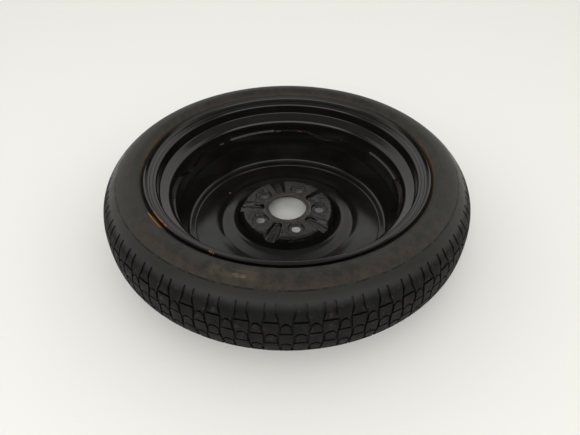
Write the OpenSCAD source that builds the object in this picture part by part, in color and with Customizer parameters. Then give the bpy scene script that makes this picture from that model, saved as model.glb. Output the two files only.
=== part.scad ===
// Space saver spare wheel: a narrow temporary tyre on a welded steel wheel, lying with its inboard side up.
// Millimetres. The wheel axis is Z, the floor is Z = 0 and all profiles are drawn as [radius, height],
// with height measured from the centre plane of the tyre.

/* [Tyre] */
// Overall diameter over the middle of the tread
tyre_d = 612; // [590:1:640]
// Widest width across the side walls
tyre_w = 138; // [134:1:150]
// Share of the side wall's height, from the flange up, at which the tread curve begins
side_share = 0.357; // [0.3:0.01:0.42]
// Thickness of the tread band in the middle
tread_t = 9.5; // [8:0.5:12]
// Thickness of the side wall
side_t = 6; // [4.5:0.5:8]
// Depth of the tread grooves
groove_h = 3; // [1.5:0.5:4]
// Width of the grooves that run round the tread
groove_w = 2.6; // [1.5:0.1:4]
// Distance between neighbouring grooves that run round the tread
groove_pitch = 19; // [14:0.5:22]

/* [Rim] */
// Diameter of the bead seats
seat_d = 436.6; // [430:0.2:442]
// Width between the two flanges
rim_w = 101.6; // [98:0.2:106]
// Height of the flanges over the bead seat
flange_h = 16.2; // [15:0.1:18]
// How far a flange lip stands out from the flange wall
lip_h = 9.3; // [8:0.1:10.5]
// Thickness of the rolled rim sheet
rim_t = 2.3; // [1.8:0.1:3]
// Depth of the well under the bead seat
well_h = 19.4; // [17:0.1:21]
// Length of the inboard bead seat
seat_in = 15.8; // [13:0.1:18]
// Length of the outboard bead seat
seat_out = 17.4; // [16:0.1:19]

/* [Disc] */
// Distance of the hub face from the centre plane, towards the outboard side
inset = 38.5; // [34:0.1:42]
// Thickness of the pressed disc
disc_t = 3.5; // [2.8:0.1:4]
// Diameter of the flat hub face
pad_d = 151; // [146:1:156]
// Diameter of the centre bore
bore_d = 67.1; // [56:0.1:74]
// Diameter of the circle of stud holes
pcd = 114.3; // [108:0.1:115]
// Diameter of a stud hole
stud_d = 15.2; // [13:0.1:16]
// Number of stud holes
stud_n = 5; // [4:1:5]
// Depth of the coined dish round each stud hole
dish_h = 2.4; // [1.5:0.1:3]
// Depth of the pressed channels between the stud holes
channel_h = 6.5; // [4:0.5:8]
// Height of the disc skirt's edge over the centre plane
skirt_top = 2; // [-2:0.5:6]
// Depth of the four dips in the skirt's edge
dip_h = 12; // [4:0.5:14]

/* [Welds] */
// Leg of a weld bead on the disc's edge
weld_h = 4.2; // [3:0.1:5]
// Angle that each weld bead covers
weld_a = 28; // [16:1:34]

/* [Valve] */
// Diameter of the valve hole in the rim
valve_hole_d = 11.5; // [11:0.1:11.8]
// Diameter of the rubber body beside the rim
valve_body_d = 15; // [14:0.1:15.2]
// Length from the rim to the end of the stem
valve_l = 31.8; // [30:0.1:32.5]
// Diameter over the stem's thread
stem_d = 7.7; // [7.5:0.1:7.9]
// Length of the cap
cap_l = 10; // [9:0.1:11]
// Diameter of the cap
cap_d = 10; // [9.6:0.1:10.6]

/* [Hidden] */
$fn = 96;

// Largest angle between two points of a rounded corner
facet_a = 14;
// Height of the centre plane over the floor
mid_z = tyre_w / 2;

// Rim radii, on the tyre's side of the sheet
seat_r = seat_d / 2;
flange_r = seat_r + flange_h;
well_r = seat_r - well_h;
// Room for the tyre's side wall: outwards from the flange's edge and sideways from the rim
wall_h = tyre_d / 2 - flange_r;
wall_out = mid_z - rim_w / 2;
side_r = flange_r + side_share * wall_h;
// Taper of the bead seats
seat_taper = 5;
// Slopes of the two walls between seat and well
ramp_in = 43;
ramp_out = 25;
// How far the curl's corner lies inside the lip
curl_in = 3.5;

// Clearances: tyre on rim, disc in rim, core's pin in its bore, core's plug in the stem and cap on the stem
bead_gap = 0.1;
skirt_gap = 0.05;
pin_gap = 0.06;
thread_gap = 0.05;
cap_gap = 0.08;

// Angle of the first stud hole, of the dips and of the valve, counter-clockwise from +X
stud_a = -2.6;
dip_a = 67;
dip_span = 28;
valve_a = stud_a + 216;

// Plane vectors: made one long, turned by an angle and turned a quarter to the left
function unit(v) = v / norm(v);
function turned(v, a) = [v.x * cos(a) - v.y * sin(a), v.x * sin(a) + v.y * cos(a)];
function left(v) = [-v.y, v.x];

// Points of the rounded corner b on the way from a to c, with radius r on the middle line and shifted left by d
function bend(a, b, c, r, d) =
    let (u = unit(b - a), v = unit(c - b),
         s = sign(u.x * v.y - u.y * v.x),
         turn = acos(max(-1, min(1, u * v))),
         mid = b - u * r * tan(turn / 2) + s * r * left(u),
         steps = max(1, ceil(turn / facet_a)))
    [for (i = [0 : steps]) mid - s * (r - s * d) * turned(left(u), s * turn * i / steps)];

// One face of a bent strip: path is a list of [radius, height, corner radius]
function face(path, d) =
    let (n = len(path), p = [for (q = path) [q.x, q.y]])
    concat([p[0] + d * left(unit(p[1] - p[0]))],
           [for (i = [1 : n - 2]) each bend(p[i - 1], p[i], p[i + 1], path[i].z, d)],
           [p[n - 1] + d * left(unit(p[n - 1] - p[n - 2]))]);

function reversed(list) = [for (i = [len(list) - 1 : -1 : 0]) list[i]];
function strip(path, t) = concat(face(path, t / 2), reversed(face(path, -t / 2)));

// The tread curve: radius at height h of a crown that closes at height a, between radii base and top
crown_round = 2.84;
crown_sharp = 1.05;
function crown(h, a, base, top) = base + (top - base) * pow(1 - pow(abs(h) / a, crown_round), 1 / crown_sharp);
function crown_points(a, base, top, share) =
    [for (i = [0 : 20]) let (h = a * share * (i / 10 - 1)) [crown(h, a, base, top), -h]];

// The tread curve runs over this share of its width, then turns into the side wall
crown_share = 0.9;
crown_half = 1.019 * mid_z;
shoulder = [crown(crown_half * crown_share, crown_half, side_r, tyre_d / 2), crown_half * crown_share];
shoulder_end = [side_r + 0.055 * wall_h, mid_z];
// The rounding of the shoulder takes up this share of the line between its two points
shoulder_fill = 0.968;
shoulder_turn = atan((shoulder_end.y - shoulder.y) / (shoulder.x - shoulder_end.x));
shoulder_round = shoulder_fill * norm(shoulder_end - shoulder) / tan(shoulder_turn / 2);

module spun(points) rotate_extrude($fn = 180) polygon(points);
module at_mid() translate([0, 0, mid_z]) children();

// Rim: half of the middle line from the lip to the end of the bead seat
function half_rim(seat, side) = [
    [flange_r - rim_t / 2, side * (rim_w / 2 + rim_t / 2 + lip_h), 1],
    [flange_r - rim_t / 2 - curl_in, side * (rim_w + rim_t) / 2, 7],
    [seat_r - rim_t / 2, side * (rim_w + rim_t) / 2, 5.8],
    [seat_r - rim_t / 2 - seat * tan(seat_taper), side * ((rim_w + rim_t) / 2 - seat), 3.4]];
seat_end_in = half_rim(seat_in, 1)[3];
seat_end_out = half_rim(seat_out, -1)[3];
well_mid = well_r - rim_t / 2;
well_top = seat_end_in.y - (seat_end_in.x - well_mid) * tan(ramp_in);
well_low = seat_end_out.y + (seat_end_out.x - well_mid) * tan(ramp_out);
rim_path = concat(half_rim(seat_in, 1), [[well_mid, well_top, 6], [well_mid, well_low, 4]],
                  reversed(half_rim(seat_out, -1)));

// The valve sits in the middle of the outboard ramp, at right angles to it
valve_at = [(seat_end_out.x + well_mid) / 2, 0, mid_z + (seat_end_out.y + well_low) / 2];
module at_valve() rotate(valve_a) translate(valve_at) rotate([0, 180 + ramp_out, 0]) children();

// Tyre: outer corners of one side wall, bead and heel, from the tread curve to the toe
bead_w = 0.79 * seat_in;
toe_r = seat_r - bead_w * tan(seat_taper) + bead_gap;
function side_outer(s) = [
    [shoulder.x, s * shoulder.y, 0],
    [shoulder_end.x, s * shoulder_end.y, shoulder_round],
    [flange_r + 0.182 * wall_h, s * mid_z, 0.14 * wall_h],
    [flange_r + 0.087 * wall_h, s * (rim_w / 2 + 0.626 * wall_out), 0.035 * wall_h],
    [flange_r + 0.039 * wall_h, s * (rim_w / 2 + 0.22 * wall_out), 0.042 * wall_h],
    [flange_r - 0.28 * flange_h, s * (rim_w / 2 - bead_gap), 0.25 * flange_h],
    [seat_r + bead_gap, s * (rim_w / 2 - bead_gap), 0.31 * flange_h],
    [toe_r, s * (rim_w / 2 - bead_w), 1]];
// The inside of the same wall, from the toe back to the tread
cavity_half = crown_half - side_t;
cavity_r = side_r - 0.028 * wall_h;
function side_inner(s) = [
    [toe_r, s * (rim_w / 2 - bead_w), 1],
    [toe_r + 0.37 * flange_h, s * (rim_w / 2 - 1.16 * bead_w), 0.185 * flange_h],
    [flange_r + 0.07 * wall_h, s * (rim_w / 2 - 0.11 * wall_out), 0.2 * wall_h],
    [flange_r + 0.2 * wall_h, s * (mid_z - side_t), 0.1 * wall_h],
    [side_r + 0.014 * wall_h, s * (mid_z - side_t), 0.2 * wall_h],
    [crown(cavity_half * crown_share, cavity_half, cavity_r, tyre_d / 2 - tread_t),
     s * cavity_half * crown_share, 0]];
function no_ends(list) = [for (i = [1 : len(list) - 2]) list[i]];

module tyre_section() {
    outer_top = face(side_outer(1), 0);
    outer_low = face(side_outer(-1), 0);
    inner_top = face(side_inner(1), 0);
    inner_low = face(side_inner(-1), 0);
    polygon(concat(crown_points(crown_half, side_r, tyre_d / 2, crown_share),
                   no_ends(outer_low), [[toe_r, bead_w - rim_w / 2]], no_ends(inner_low),
                   reversed(crown_points(cavity_half, cavity_r, tyre_d / 2 - tread_t, crown_share)),
                   reversed(no_ends(inner_top)), [[toe_r, rim_w / 2 - bead_w]], reversed(no_ends(outer_top))));
}

module tyre() color([0.13, 0.125, 0.12]) at_mid() difference() {
    rotate_extrude($fn = 180) tyre_section();
    for (k = [-1 : 1]) spun([
        for (q = [[-0.5, -groove_h], [0.5, -groove_h], [0.5, groove_h], [-0.5, groove_h]])
            [crown(k * groove_pitch, crown_half, side_r, tyre_d / 2) + q.y, k * groove_pitch + q.x * groove_w]]);
}

module wheel_rim() color([0.06, 0.06, 0.06]) difference() {
    at_mid() rotate_extrude($fn = 180) polygon(strip(rim_path, rim_t));
    at_valve() cylinder(d = valve_hole_d, h = 4 * rim_t, center = true);
}

// Disc: middle line from the skirt's edge over the outer trough to the bore
skirt_r = well_r - rim_t - skirt_gap - disc_t / 2;
hub_mid = -inset - disc_t / 2;
floor_mid = -mid_z + 1.65 + disc_t / 2;
trough_w = skirt_r - pad_d / 2;
disc_path = [
    [skirt_r, skirt_top, 0],
    [skirt_r, skirt_top - 0.22 * trough_w, 0.105 * trough_w],
    [skirt_r - 0.128 * trough_w, floor_mid + 0.54 * disc_t, 0.07 * trough_w],
    [skirt_r - 0.2195 * trough_w, floor_mid + 0.54 * disc_t, 0.035 * trough_w],
    [skirt_r - 0.254 * trough_w, floor_mid, 0.035 * trough_w],
    [pad_d / 2 + 0.422 * trough_w, floor_mid, 0.23 * trough_w],
    [pad_d / 2 + 0.36 * trough_w, floor_mid + 0.92 * disc_t, 0.05 * trough_w],
    [pad_d / 2 + 0.147 * trough_w, floor_mid + 0.97 * disc_t, 0.125 * trough_w],
    [pad_d / 2 + 0.0235 * trough_w, hub_mid, 0.035 * trough_w],
    [bore_d / 2 - 2, hub_mid, 0]];

// Dish round a stud hole, and its seat for a nut with a 60 degree cone
dish_r = stud_d / 2 + 2.8;
dish_slope = 1.75;
nut_seat_w = 1.3;

module at_studs() for (i = [0 : stud_n - 1]) rotate(stud_a + i * 360 / stud_n) translate([pcd / 2, 0, 0]) children();
module at_channels() for (i = [0 : stud_n - 1]) rotate(stud_a + (i + 0.5) * 360 / stud_n) children();

// A pressed channel: a round-nosed groove whose floor stays narrow while its flanks open towards the hub's wall
channel_from = bore_d / 2 + 17;
channel_to = pad_d / 2 + 24;
channel_nose = 4.2;
floor_spread = 1;
mouth_spread = 12;
channel_flank = 40;
channel_fall = 5;
function channel_ring(grow, spread, z) =
    let (r = channel_nose + grow)
    concat([for (i = [0 : 8]) let (a = 90 + spread + i * (180 - 2 * spread) / 8)
                [channel_from + r * cos(a), r * sin(a), z]],
           [for (s = [-1, 1])
                [channel_to, s * (r / cos(spread) + (channel_to - channel_from) * tan(spread)), z]]);
module channel(low, high, grow) {
    points = concat(channel_ring(grow, floor_spread, low),
                    channel_ring(grow + (high - low) * tan(channel_flank), mouth_spread, high));
    n = len(points) / 2;
    polyhedron(points, concat([[for (i = [0 : n - 1]) i]], [[for (i = [n - 1 : -1 : 0]) n + i]],
        [for (i = [0 : n - 1], k = [0, 1]) let (j = (i + 1) % n) k == 0 ? [i, n + i, n + j] : [i, n + j, j]]));
}
module fallen() translate([channel_from, 0, -inset]) rotate([0, channel_fall, 0]) translate([-channel_from, 0, 0]) children();

// Dip in the edge of the skirt, as a bell curve cut through the wall
module skirt_dip() {
    half = skirt_r * sin(dip_span / 2);
    rotate([90, 0, 90]) translate([0, skirt_top, skirt_r - 12]) linear_extrude(24)
        polygon(concat([for (i = [0 : 16]) [half * (i / 8 - 1), -dip_h * (1 + cos(180 * (i / 8 - 1))) / 2]],
                       [[half, 3], [-half, 3]]));
}

module disc_sheet() difference() {
    union() {
        rotate_extrude($fn = 180) polygon(strip(disc_path, disc_t));
        intersection() {
            at_channels() fallen() channel(-channel_h - disc_t, 4, disc_t * 0.45);
            spun([[bore_d / 2 + 2, -inset - 1], [disc_path[8].x - 5, -inset - 1], [disc_path[8].x, hub_mid],
                  [disc_path[7].x, disc_path[7].y], [disc_path[7].x, floor_mid - disc_t],
                  [bore_d / 2 + 2, floor_mid - disc_t]]);
        }
        at_studs() translate([0, 0, -inset - disc_t - dish_h])
            cylinder(r1 = dish_r + 1.6, r2 = dish_r + 1.6 + dish_slope * (dish_h + 1), h = dish_h + 1);
    }
    at_channels() fallen() channel(-channel_h, 4, 0);
}

module wheel_disc() color([0.07, 0.07, 0.07]) at_mid() difference() {
    disc_sheet();
    translate([0, 0, -mid_z]) cylinder(d = bore_d, h = mid_z);
    at_studs() {
        translate([0, 0, -mid_z]) cylinder(d = stud_d, h = mid_z);
        translate([0, 0, -inset - dish_h]) cylinder(r1 = dish_r, r2 = dish_r + dish_slope * (dish_h + 1), h = dish_h + 1);
        translate([0, 0, -inset - disc_t - dish_h - 1])
            cylinder(r1 = stud_d / 2 + nut_seat_w + tan(30), r2 = stud_d / 2, h = 1 + nut_seat_w / tan(30));
    }
    for (i = [0 : 3]) rotate(dip_a + 90 * i) skirt_dip();
}

module weld_bead(i) color([0.09, 0.085, 0.08]) at_mid() rotate(dip_a - 45 + 90 * i - weld_a / 2)
    rotate_extrude(angle = weld_a, $fn = 180) translate([skirt_r + disc_t / 2 - disc_t, skirt_top])
        polygon([for (q = [[0, 0.05], [disc_t + skirt_gap - 0.02, 0.05], [disc_t + skirt_gap - 0.02, weld_h],
                           [disc_t - 0.9, weld_h - 0.5], [disc_t - 2.2, weld_h - 1.8], [0.2, 1.4]]) q]);

// Valve: heights run along its axis from the middle of the rim sheet towards the stem's end
stem_r = stem_d / 2;
rubber_top = valve_l - 10.8;
groove_half = rim_t / 2 + 0.15;
stem_core_r = 3.1;
head_h = 6;
module valve_body() color([0.08, 0.08, 0.08]) at_valve() rotate_extrude($fn = 72) polygon([
    [stem_core_r, -head_h - groove_half], [valve_body_d / 2 - 1.6, -head_h - groove_half],
    [valve_body_d / 2, -head_h - groove_half + 1.6], [valve_body_d / 2, -groove_half],
    [valve_hole_d / 2, -groove_half], [valve_hole_d / 2, groove_half], [valve_hole_d / 2 + 0.8, groove_half],
    [valve_body_d / 2 - 0.2, groove_half + 1.6], [valve_body_d / 2 - 0.2, groove_half + 4.6],
    [stem_r + 2.3, rubber_top - 9], [stem_r + 1.5, rubber_top - 0.6], [stem_r + 0.9, rubber_top],
    [stem_core_r, rubber_top]]);

core_r = 2.6;
barrel_r = 1.75;
bore_r = 2.0;
plug_low = valve_l - 7.2;
gasket_low = plug_low - 2.4;
barrel_low = 10;
module valve_stem() color([0.72, 0.58, 0.32]) at_valve() rotate_extrude($fn = 72) polygon([
    [1.6, -head_h], [stem_core_r, -head_h], [stem_core_r, rubber_top], [stem_r - 0.5, rubber_top + 0.05],
    [stem_r, rubber_top + 0.6], [stem_r, valve_l - 0.6], [stem_r - 0.5, valve_l],
    [core_r + thread_gap, valve_l], [core_r + thread_gap, plug_low], [bore_r, gasket_low], [bore_r, 7.5], [1.6, 6.9]]);

pin_r = 0.45;
pin_top = valve_l - 0.4;
plug_cut = 1.2;
// Air passes the pin through small holes in the plug and in the barrel's shelf
module air_holes(low, high, r) for (i = [0 : 3]) rotate(45 + 90 * i) translate([1.02, 0, low - 0.5])
    cylinder(r = r, h = high - low + 1, $fn = 24);
module core_plug() color([0.75, 0.62, 0.36]) at_valve() difference() {
    rotate_extrude($fn = 48) polygon([
        [pin_r + pin_gap, plug_low + 3.2], [pin_r + pin_gap, plug_low + 1.4], [barrel_r, plug_low + 1.4],
        [barrel_r, plug_low + 0.1], [core_r, plug_low + 0.1], [core_r, valve_l - plug_cut],
        [1.5, valve_l - plug_cut], [1.5, plug_low + 3.2]]);
    air_holes(plug_low + 1.4, plug_low + 3.2, 0.3);
}

shelf_h = 0.8;
spring_low = barrel_low + shelf_h + 0.02;
spring_top = gasket_low - 1;
module core_barrel() color([0.75, 0.62, 0.36]) at_valve() difference() {
    rotate_extrude($fn = 48) polygon([
        [pin_r + pin_gap, barrel_low], [barrel_r - 0.1, barrel_low], [barrel_r - 0.1, plug_low + 1.3],
        [1.35, plug_low + 1.3], [1.35, barrel_low + shelf_h], [pin_r + pin_gap, barrel_low + shelf_h]]);
    air_holes(barrel_low, barrel_low + shelf_h, 0.22);
}

module core_gasket() color([0.85, 0.85, 0.82]) at_valve() rotate_extrude($fn = 48) polygon([
    [barrel_r - 0.09, gasket_low + 0.2], [bore_r - 0.02, gasket_low + 0.2], [core_r - 0.1, plug_low],
    [barrel_r - 0.09, plug_low]]);

cup_low = barrel_low - 1.7;
seal_h = 0.6;
module core_pin() color([0.7, 0.68, 0.6]) at_valve() {
    translate([0, 0, cup_low - 0.5]) cylinder(r = pin_r, h = pin_top - cup_low + 0.5, $fn = 32);
    translate([0, 0, spring_top + 0.02]) cylinder(r = 1.2, h = 0.5, $fn = 32);
}
module core_cup() color([0.75, 0.62, 0.36]) at_valve() rotate_extrude($fn = 48) polygon([
    [pin_r, cup_low], [1.5, cup_low], [1.5, barrel_low - seal_h], [pin_r, barrel_low - seal_h]]);
module core_seal() color([0.1, 0.1, 0.1]) at_valve() rotate_extrude($fn = 48) polygon([
    [pin_r, barrel_low - seal_h], [1.55, barrel_low - seal_h], [1.55, barrel_low - 0.03],
    [pin_r, barrel_low - 0.03]]);

// Spring: a wire swept along a helix
spring_turns = 6;
spring_r = 0.95;
wire_r = 0.14;
spring_steps = 8;
wire_sides = 5;
module core_spring() color([0.6, 0.6, 0.6]) at_valve() {
    n = spring_turns * spring_steps;
    rise = spring_top - spring_low - 2 * wire_r;
    points = [for (i = [0 : n], j = [0 : wire_sides - 1])
        let (a = 360 * i / spring_steps, b = 360 * j / wire_sides, r = spring_r + wire_r * cos(b))
        [r * cos(a), r * sin(a), spring_low + wire_r + rise * i / n + wire_r * sin(b)]];
    polyhedron(points, concat(
        [[for (j = [0 : wire_sides - 1]) j]], [[for (j = [wire_sides - 1 : -1 : 0]) n * wire_sides + j]],
        [for (i = [0 : n - 1], j = [0 : wire_sides - 1]) let (k = (j + 1) % wire_sides)
            [i * wire_sides + j, (i + 1) * wire_sides + j, (i + 1) * wire_sides + k, i * wire_sides + k]]));
}

cap_seal_h = 0.6;
seal_gap = 0.05;
cap_roof = 0.9;
cap_top = valve_l + cap_seal_h + 2 * seal_gap + cap_roof;
module valve_cap() color([0.05, 0.05, 0.05]) at_valve() difference() {
    rotate_extrude($fn = 72) polygon([
        [0, cap_top - cap_roof], [stem_r + cap_gap, cap_top - cap_roof], [stem_r + cap_gap, cap_top - cap_l],
        [cap_d / 2, cap_top - cap_l],
        [cap_d / 2, cap_top - 1.2], [cap_d / 2 - 1.2, cap_top], [0, cap_top]]);
    for (i = [0 : 11]) rotate(i * 30) translate([cap_d / 2 + 0.5, 0, cap_top - cap_l - 1])
        cylinder(r = 0.8, h = cap_l - 1.2, $fn = 24);
}
module cap_seal() color([0.15, 0.12, 0.1]) at_valve() translate([0, 0, valve_l + seal_gap])
    cylinder(r = stem_r - 0.2, h = cap_seal_h, $fn = 48);

tyre();
wheel_rim();
wheel_disc();
weld_bead(0);  // weld_bead_1
weld_bead(1);  // weld_bead_2
weld_bead(2);  // weld_bead_3
weld_bead(3);  // weld_bead_4
valve_body();
valve_stem();
core_plug();
core_barrel();
core_gasket();
core_pin();
core_cup();
core_seal();
core_spring();
valve_cap();
cap_seal();
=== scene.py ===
# %% [markdown]
# # A space saver spare wheel
#
# This wheel lies on the floor with its inboard side up. It is a narrow temporary tyre on a black steel
# wheel: a rolled rim, a deep pressed disc with a pierced hub face, four weld beads and a rubber valve
# underneath. Almost everything on it is round, so most pieces start as half a cross section that is spun
# round the axis. The steps are: load the solids, set the camera and light, mix the finishes, spin and press
# the steel, lay the weld beads, and build the tyre from one pitch of its tread.

import math

import bmesh
import bpy
import numpy as np
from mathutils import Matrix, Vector


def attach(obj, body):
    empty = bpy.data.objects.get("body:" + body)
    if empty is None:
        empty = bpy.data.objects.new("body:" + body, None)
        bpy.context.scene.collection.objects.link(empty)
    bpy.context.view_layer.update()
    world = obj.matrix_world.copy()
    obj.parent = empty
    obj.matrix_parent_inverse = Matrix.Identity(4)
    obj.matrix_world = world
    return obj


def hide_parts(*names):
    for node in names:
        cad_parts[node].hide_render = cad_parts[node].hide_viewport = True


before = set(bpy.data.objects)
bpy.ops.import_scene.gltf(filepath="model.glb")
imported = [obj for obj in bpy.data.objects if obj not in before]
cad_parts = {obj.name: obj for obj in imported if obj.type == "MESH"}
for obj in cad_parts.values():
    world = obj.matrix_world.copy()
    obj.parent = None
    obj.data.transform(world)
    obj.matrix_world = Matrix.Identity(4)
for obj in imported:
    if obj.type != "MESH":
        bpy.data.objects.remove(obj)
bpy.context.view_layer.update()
MM = 0.001

# %% [markdown]
# ## Camera, floor and light
#
# The picture was taken from in front of the wheel and above it, with a wide lens held close. The lens and
# the place of the camera were worked out from the circles of the rim, so they are numbers here. A wide lens
# held close makes the near side of the tyre larger, and a long lens further off would never give that look.

# %% Camera
LOOK_DOWN = 41.515
camera_data = bpy.data.cameras.new("camera")
camera_data.sensor_width = 36
camera_data.lens = 29.79
camera_data.shift_x = -0.0015
camera_data.clip_start = 0.02
camera = bpy.data.objects.new("camera", camera_data)
camera.location = (6.15 * MM, -662.1 * MM, 591.8 * MM)
camera.rotation_euler = (math.radians(90 - LOOK_DOWN), 0, 0)
bpy.context.scene.collection.objects.link(camera)
bpy.context.scene.camera = camera
print("camera height", round(camera.location.z, 3), "lens", camera_data.lens)

# %% [markdown]
# ## Tools for mixing
#
# The room round the wheel and every finish on it are mixed from small nodes. The class below keeps the mixing
# short: nearly every call adds one node and gives back what comes out of it.

# %% Tools for mixing nodes


class Mixer:
    """Adds nodes to one node tree, with a short call for each kind of node."""

    def __init__(self, tree):
        self.nodes, self.links = tree.nodes, tree.links

    def feed(self, socket, value):
        """Joins an output to a socket, or sets a plain number or colour on it."""
        if isinstance(value, bpy.types.NodeSocket):
            self.links.new(value, socket)
        elif isinstance(value, tuple):
            socket.default_value = (*value, 1) if len(value) < len(socket.default_value) else value
        else:
            socket.default_value = value

    def split(self, vector):
        node = self.nodes.new("ShaderNodeSeparateXYZ")
        self.feed(node.inputs[0], vector)
        return list(node.outputs)

    def sum(self, kind, a, b=0.0):
        node = self.nodes.new("ShaderNodeMath")
        node.operation = kind
        self.feed(node.inputs[0], a)
        self.feed(node.inputs[1], b)
        return node.outputs[0]

    def chain(self, kind, first, *others):
        for other in others:
            first = self.sum(kind, first, other)
        return first

    def plus(self, *values):
        return self.chain("ADD", *values)

    def times(self, *values):
        return self.chain("MULTIPLY", *values)

    def most(self, *values):
        return self.chain("MAXIMUM", *values)

    def slope(self, value, low, high):
        """0 up to low, 1 from high on and a soft slope between; falls instead where low is the larger."""
        node = self.nodes.new("ShaderNodeMapRange")
        node.interpolation_type = "SMOOTHSTEP"
        falls = low > high
        self.feed(node.inputs["Value"], value)
        node.inputs["From Min"].default_value, node.inputs["From Max"].default_value = sorted((low, high))
        node.inputs["To Min"].default_value, node.inputs["To Max"].default_value = (1, 0) if falls else (0, 1)
        return node.outputs["Result"]

    def within(self, value, start, full, end, gone):
        """0 up to start, 1 from full to end, 0 from gone on, and soft slopes between."""
        return self.times(self.slope(value, start, full), self.slope(value, gone, end))

    def mix(self, share, first, second):
        """Colour from first at share 0 to second at share 1."""
        node = self.nodes.new("ShaderNodeMix")
        node.data_type = "RGBA"
        self.feed(node.inputs[0], share)
        self.feed(node.inputs[6], first)
        self.feed(node.inputs[7], second)
        return node.outputs[2]

    def between(self, share, low, high):
        """A number from low at share 0 to high at share 1."""
        return self.plus(self.times(share, high - low), low)


print("mixing tools:", [n for n in dir(Mixer) if not n.startswith("_")])

# %% [markdown]
# The stage is a pale floor under an even, soft light. Black gloss paint is drawn almost wholly by what it
# mirrors, so the camera and the reflections see a simple room: pale low walls, more pale wall to the left
# and the right behind the wheel, a long low window behind the camera that draws the bright lines on every
# bend, and a dark ceiling. All soft light comes from a backdrop that is bright low down and darker overhead.
# The two lamps only give light and aren't mirrored themselves. One large lamp stands behind the camera, and
# a wider, weaker one hangs over the wheel.

# %% Floor and world
scene = bpy.context.scene
scene.view_settings.view_transform = "Standard"
FLOOR_Z = -0.4 * MM
CEILING, BACK_WALL = (0.21, 0.21, 0.195), (1.0, 0.995, 0.94)
LOW_WALL, WINDOW = (0.80, 0.79, 0.75), (2.1, 2.13, 2.05)
LIGHT_LOW, LIGHT_OVERHEAD = (1.42, 1.40, 1.365), (0.27, 0.268, 0.26)


def plain_finish(name, colour, roughness):
    material = bpy.data.materials.new(name)
    material.use_nodes = True
    shader = material.node_tree.nodes["Principled BSDF"]
    shader.inputs["Base Color"].default_value = (*colour, 1)
    shader.inputs["Roughness"].default_value = roughness
    return material


def clear_selection():
    if bpy.context.object and bpy.context.object.mode != "OBJECT":
        bpy.ops.object.mode_set(mode="OBJECT")
    bpy.ops.object.select_all(action="DESELECT")


clear_selection()
bpy.ops.mesh.primitive_plane_add(size=24, location=(0, 0, FLOOR_Z))
floor = bpy.context.object
floor.name = "floor"
floor.data.materials.append(plain_finish("pale_floor", (0.93, 0.925, 0.89), 0.7))

world = bpy.data.worlds.new("studio")
world.use_nodes = True
scene.world = world
sky = Mixer(world.node_tree)
backdrop, seen = sky.nodes["Background"], sky.nodes.new("ShaderNodeBackground")

# Each part of the room is a range of directions, where 1 is straight to the right, forward or up
rightward, forward, upward = sky.split(sky.nodes.new("ShaderNodeTexCoord").outputs["Generated"])
wall_part = sky.times(sky.slope(forward, -0.1, 0.25), sky.slope(upward, 0.80, 0.70),
                      sky.slope(sky.sum("ABSOLUTE", rightward), 0.02, 0.14))
low_part = sky.slope(upward, 0.30, 0.20)
window_part = sky.times(sky.slope(forward, -0.25, -0.55), sky.within(upward, 0.22, 0.36, 0.57, 0.67))
room = sky.mix(wall_part, CEILING, BACK_WALL)
room = sky.mix(low_part, room, LOW_WALL)
room = sky.mix(window_part, room, WINDOW)
sky.feed(seen.inputs["Color"], room)
overhead_part = sky.slope(upward, 0.40, 0.90)
sky.feed(backdrop.inputs["Color"], sky.mix(overhead_part, LIGHT_LOW, LIGHT_OVERHEAD))

# The camera, mirrored rays and rays through clear things see the room, and all others the backdrop
rays = sky.nodes.new("ShaderNodeLightPath").outputs
sees_room = sky.most(rays["Is Camera Ray"], rays["Is Glossy Ray"], rays["Is Transmission Ray"])
choose = sky.nodes.new("ShaderNodeMixShader")
for socket, value in zip(choose.inputs, (sees_room, backdrop.outputs[0], seen.outputs[0])):
    sky.feed(socket, value)
sky.feed(sky.nodes["World Output"].inputs["Surface"], choose.outputs[0])
print("floor and backdrop ready")

# %% Lamps


def lamp(name, place, aim, size, power):
    data = bpy.data.lights.new(name, "AREA")
    data.shape = "DISK"
    data.size = size
    data.energy = power
    light = bpy.data.objects.new(name, data)
    light.location = place
    light.rotation_euler = (Vector(aim) - Vector(place)).to_track_quat("-Z", "Y").to_euler()
    light.visible_glossy = False
    scene.collection.objects.link(light)


lamp("overhead", (0.1, 0.2, 2.4), (0, 0, 0), 2.2, 6)
lamp("behind_camera", (-0.35, -2.1, 1.75), (0, 0, 0.1), 1.3, 20)

# %% Sizes of the wheel, in millimetres
# R is a radius, W a width, H or Z a height, T a thickness and A an angle in degrees
# MID is the height of the wheel's middle, and between HUB_FINE_R and the bore the disc's net is finer
MID = 69.0
SEAT_R, RIM_W, RIM_T = 218.3, 101.6, 2.3
FLANGE_R = SEAT_R + 16.2
LIP_H, WELL_R = 9.3, SEAT_R - 19.4
SEAT_IN, SEAT_OUT = 20.5, 17.4
TREAD_R = 306.0
SIDE_R = FLANGE_R + 0.357 * (TREAD_R - FLANGE_R)
DISC_T, PAD_R, BORE_R = 3.5, 75.5, 33.55
HUB_Z = MID - 38.5
STUD_CIRCLE_R, STUD_A, STUD_HOLE_R = 57.15, -2.6, 7.6
DIP_A = 67.0
HUB_FINE_R = 94
SEAT_TAPER = math.tan(math.radians(5))
print("hub face at", HUB_Z, "mm, tyre radius", TREAD_R, "mm")

# %% [markdown]
# ## Finishes
#
# No finish of the wheel is one flat colour. Each is mixed from noises that are given their real size in
# millimetres and are measured on the part itself, so a rust spot stays in its place from every side.

# %% Tools for mixing a finish


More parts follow.
